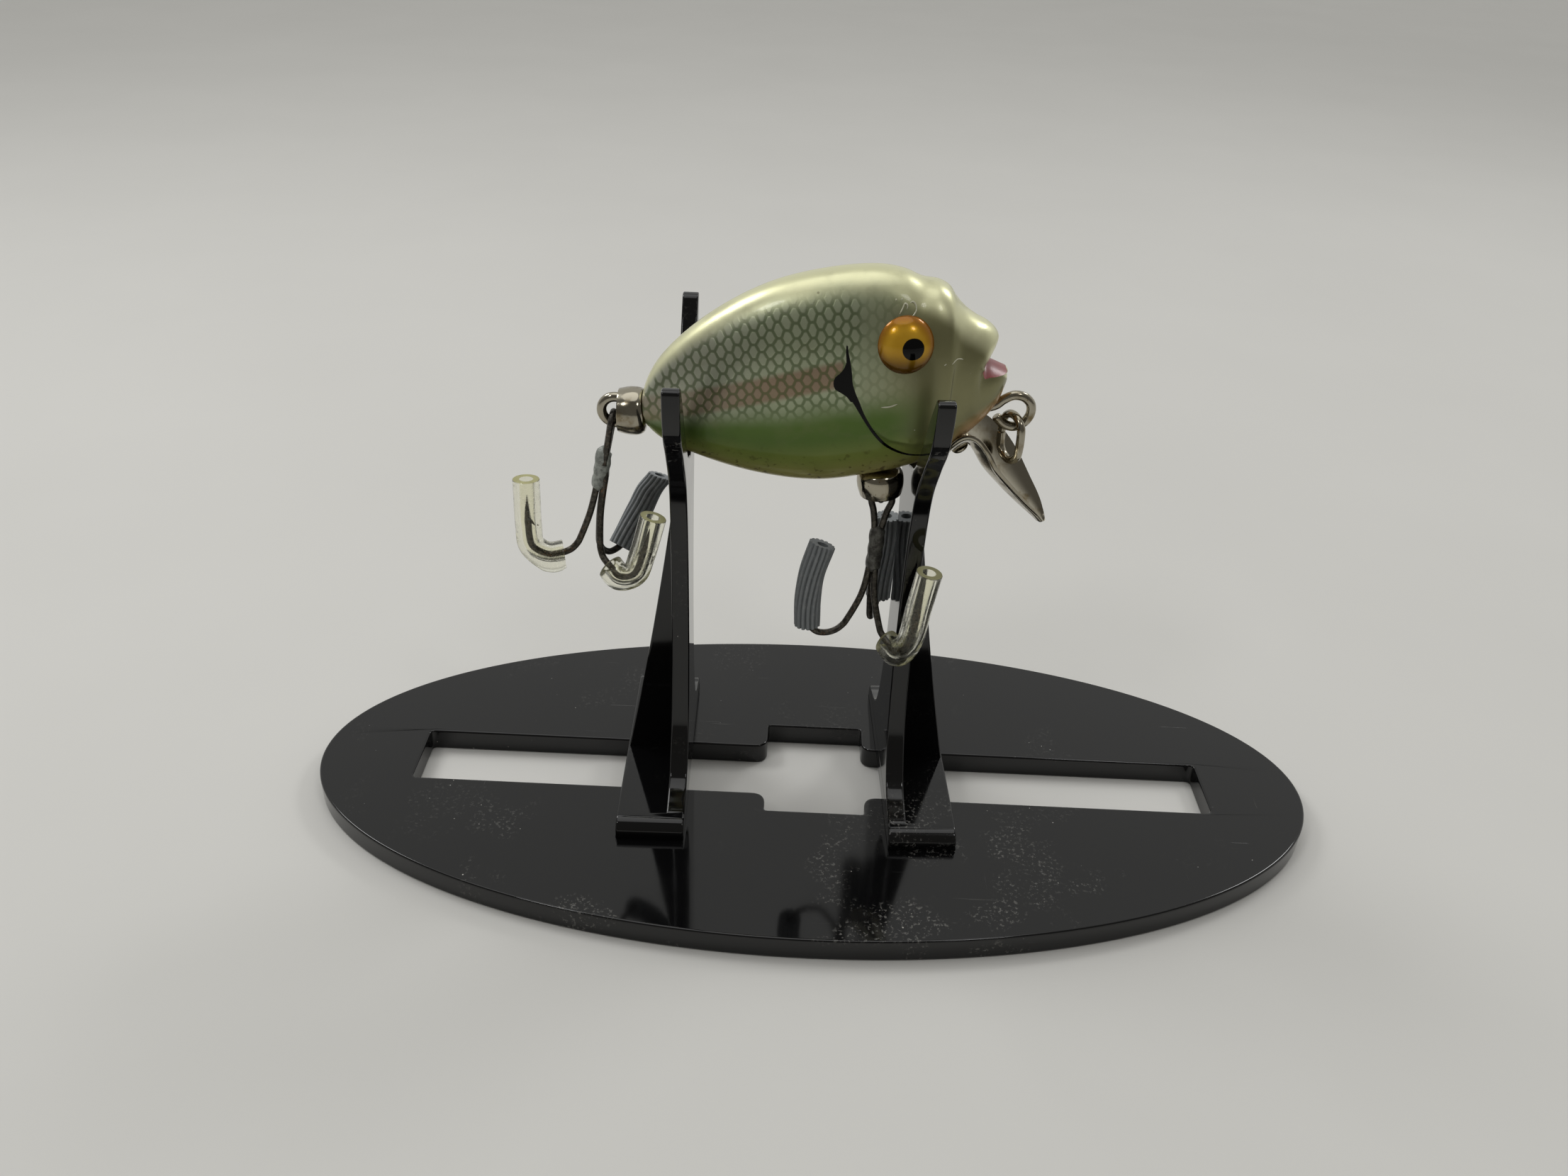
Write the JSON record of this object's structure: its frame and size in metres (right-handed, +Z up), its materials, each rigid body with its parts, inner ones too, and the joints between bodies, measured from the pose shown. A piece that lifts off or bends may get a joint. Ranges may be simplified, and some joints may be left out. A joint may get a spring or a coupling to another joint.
{
  "type": "fishing lure on display stand",
  "caption": "Sunfish-shaped painted fishing lure with a metal diving lip and capped treble hooks, resting in a black forked stand on an oval base.",
  "frame": {"origin": "centre of the base plate's underside", "axes": "+X along the base's length towards the lure's nose, +Z up, the lure's left side faces -Y"},
  "size_m": [0.1738, 0.0786, 0.0953],
  "materials": {
    "acrylic": "polished black with fine scratches and dust",
    "body_paint": "pearl lacquer over a scale-net paint, silver back to olive belly",
    "nickel": "nickel plating with slight warm tarnish",
    "bronzed_wire": "dull bronzed wire with specks of rust",
    "clear_tube": "clear soft tubing, slightly yellowed",
    "ribbed_rubber": "matt grey ribbed tubing"
  },
  "bodies": {
    "root": {"base_plate": "acrylic", "upright_tail": "acrylic", "upright_head": "acrylic", "lure_body": "body_paint", "tail_cup": "nickel", "tail_screw_eye": "nickel", "belly_cup": "nickel", "belly_screw_eye": "nickel", "link_ring": "nickel", "lip_screw": "nickel", "line_tie": "nickel", "diving_lip": "nickel", "tail_treble": "bronzed_wire", "tail_cover_left": "clear_tube", "tail_cover_front": "clear_tube", "tail_cover_rear": "ribbed_rubber", "belly_treble": "bronzed_wire", "belly_cover_left": "ribbed_rubber", "belly_cover_front": "clear_tube", "belly_cover_rear": "ribbed_rubber"}
  },
  "joints": []
}
